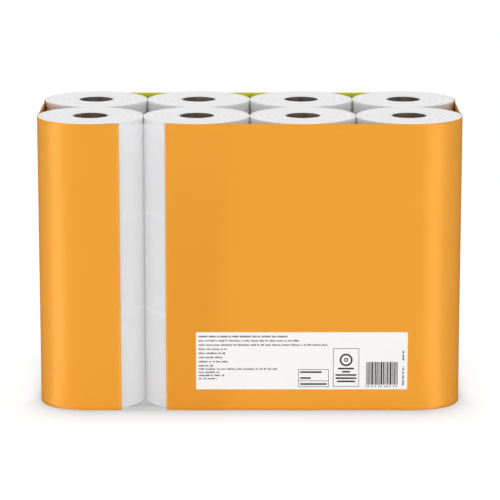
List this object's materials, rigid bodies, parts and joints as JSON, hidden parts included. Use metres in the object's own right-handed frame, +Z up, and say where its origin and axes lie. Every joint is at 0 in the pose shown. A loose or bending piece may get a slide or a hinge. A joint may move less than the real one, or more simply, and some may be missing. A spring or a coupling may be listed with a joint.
{
  "type": "toilet paper roll pack",
  "caption": "Family pack of toilet paper rolls in columns and tiers, held by a printed film sleeve with a clear window strip and a white label panel.",
  "frame": {"origin": "middle of the base, on the surface that the pack stands on", "axes": "+X along the columns, to the right as the label side is seen; +Y from the label side (the pack's back) to the display side; +Z up along the rolls' cores"},
  "size_m": [0.4298, 0.2155, 0.294],
  "materials": {
    "tissue_paper": "soft matt white tissue, wound in turns",
    "core_board": "matt grey-brown spiral-wound board",
    "clear_film": "clear stretched film",
    "orange_ink": "satin print on film",
    "yellow_ink": "satin print on film",
    "white_ink": "satin print on film",
    "dark_ink": "dark print on film"
  },
  "bodies": {
    "root": {"roll_bottom_back_1": "tissue_paper", "roll_bottom_back_2": "tissue_paper", "roll_bottom_back_3": "tissue_paper", "roll_bottom_back_4": "tissue_paper", "roll_bottom_front_1": "tissue_paper", "roll_bottom_front_2": "tissue_paper", "roll_bottom_front_3": "tissue_paper", "roll_bottom_front_4": "tissue_paper", "roll_middle_back_1": "tissue_paper", "roll_middle_back_2": "tissue_paper", "roll_middle_back_3": "tissue_paper", "roll_middle_back_4": "tissue_paper", "roll_middle_front_1": "tissue_paper", "roll_middle_front_2": "tissue_paper", "roll_middle_front_3": "tissue_paper", "roll_middle_front_4": "tissue_paper", "roll_top_back_1": "tissue_paper", "roll_top_back_2": "tissue_paper", "roll_top_back_3": "tissue_paper", "roll_top_back_4": "tissue_paper", "roll_top_front_1": "tissue_paper", "roll_top_front_2": "tissue_paper", "roll_top_front_3": "tissue_paper", "roll_top_front_4": "tissue_paper", "core_bottom_back_1": "core_board", "core_bottom_back_2": "core_board", "core_bottom_back_3": "core_board", "core_bottom_back_4": "core_board", "core_bottom_front_1": "core_board", "core_bottom_front_2": "core_board", "core_bottom_front_3": "core_board", "core_bottom_front_4": "core_board", "core_middle_back_1": "core_board", "core_middle_back_2": "core_board", "core_middle_back_3": "core_board", "core_middle_back_4": "core_board", "core_middle_front_1": "core_board", "core_middle_front_2": "core_board", "core_middle_front_3": "core_board", "core_middle_front_4": "core_board", "core_top_back_1": "core_board", "core_top_back_2": "core_board", "core_top_back_3": "core_board", "core_top_back_4": "core_board", "core_top_front_1": "core_board", "core_top_front_2": "core_board", "core_top_front_3": "core_board", "core_top_front_4": "core_board", "film_sleeve": "clear_film", "orange_print_left": "orange_ink", "orange_print_right": "orange_ink", "yellow_print": "yellow_ink", "label_panel": "white_ink", "label_text": "dark_ink", "label_small_box": "dark_ink", "label_tall_box": "dark_ink", "label_barcode": "dark_ink", "label_side_text": "dark_ink"}
  },
  "joints": []
}
